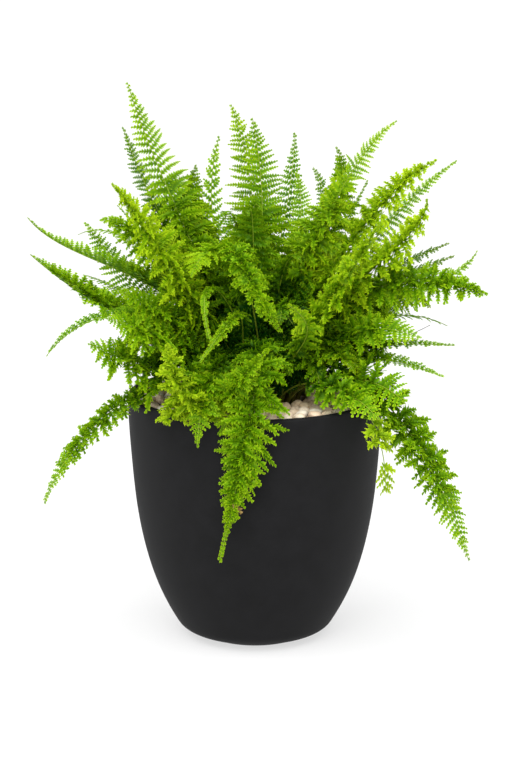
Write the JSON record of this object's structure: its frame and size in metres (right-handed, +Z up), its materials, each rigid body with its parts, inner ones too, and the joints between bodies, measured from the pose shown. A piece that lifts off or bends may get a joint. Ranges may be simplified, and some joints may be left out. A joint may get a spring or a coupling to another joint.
{
  "type": "potted fern",
  "caption": "Bushy fern with arching and hanging fronds in a tall egg-shaped matt black planter, topped with pale pebbles.",
  "frame": {"origin": "middle of the planter's flat foot, on the surface it stands on", "axes": "+Z up, -Y towards the viewer of the picture, +X to the right as seen from there"},
  "size_m": [0.5292, 0.4083, 0.6511],
  "materials": {
    "fibre_clay": "matte",
    "potting_mix": "matte",
    "pebble": "satin",
    "rootstock": "matte",
    "frond_fresh": "satin",
    "frond_mid": "satin",
    "frond_dark": "satin",
    "frond_lime": "satin"
  },
  "bodies": {
    "root": {"pot": "fibre_clay", "soil": "potting_mix", "pebbles": "pebble", "crown": "rootstock", "front_hanging": "frond_mid", "front_left_hanging": "frond_mid", "front_lime": "frond_lime", "front_lime_low": "frond_lime", "front_small": "frond_fresh", "front_arching": "frond_mid", "front_curled": "frond_fresh", "front_right_low": "frond_mid", "front_right_tip": "frond_mid", "front_right_lime": "frond_lime", "front_left_bright": "frond_mid", "front_left": "frond_mid", "front_left_low": "frond_mid", "front_right": "frond_fresh", "left_hanging": "frond_mid", "left_drooping": "frond_mid", "left_low": "frond_mid", "left_bright": "frond_fresh", "left_long": "frond_mid", "left_arched": "frond_mid", "left_long_high": "frond_mid", "left_tall": "frond_fresh", "left_tall_back": "frond_dark", "left_comb": "frond_mid", "left_back_low": "frond_dark", "left_back_thin": "frond_dark", "left_inner": "frond_mid", "right_hanging": "frond_mid", "right_low": "frond_mid", "right_lower": "frond_mid", "right_straight": "frond_mid", "right_comb": "frond_fresh", "right_long": "frond_mid", "right_upturned": "frond_mid", "right_curled": "frond_fresh", "right_tall": "frond_fresh", "right_bright": "frond_fresh", "right_arched": "frond_mid", "right_back_high": "frond_dark", "right_back": "frond_dark", "right_back_thin": "frond_dark", "right_inner": "frond_mid", "middle_tall": "frond_mid", "back_tall": "frond_fresh", "back_left": "frond_mid", "back_thin": "frond_dark", "back_right": "frond_mid", "back_right_low": "frond_dark", "rear_1": "frond_dark", "rear_2": "frond_mid", "rear_3": "frond_dark", "rear_4": "frond_mid", "rear_5": "frond_dark", "rear_6": "frond_mid", "rear_7": "frond_dark", "rear_8": "frond_mid"}
  },
  "joints": []
}
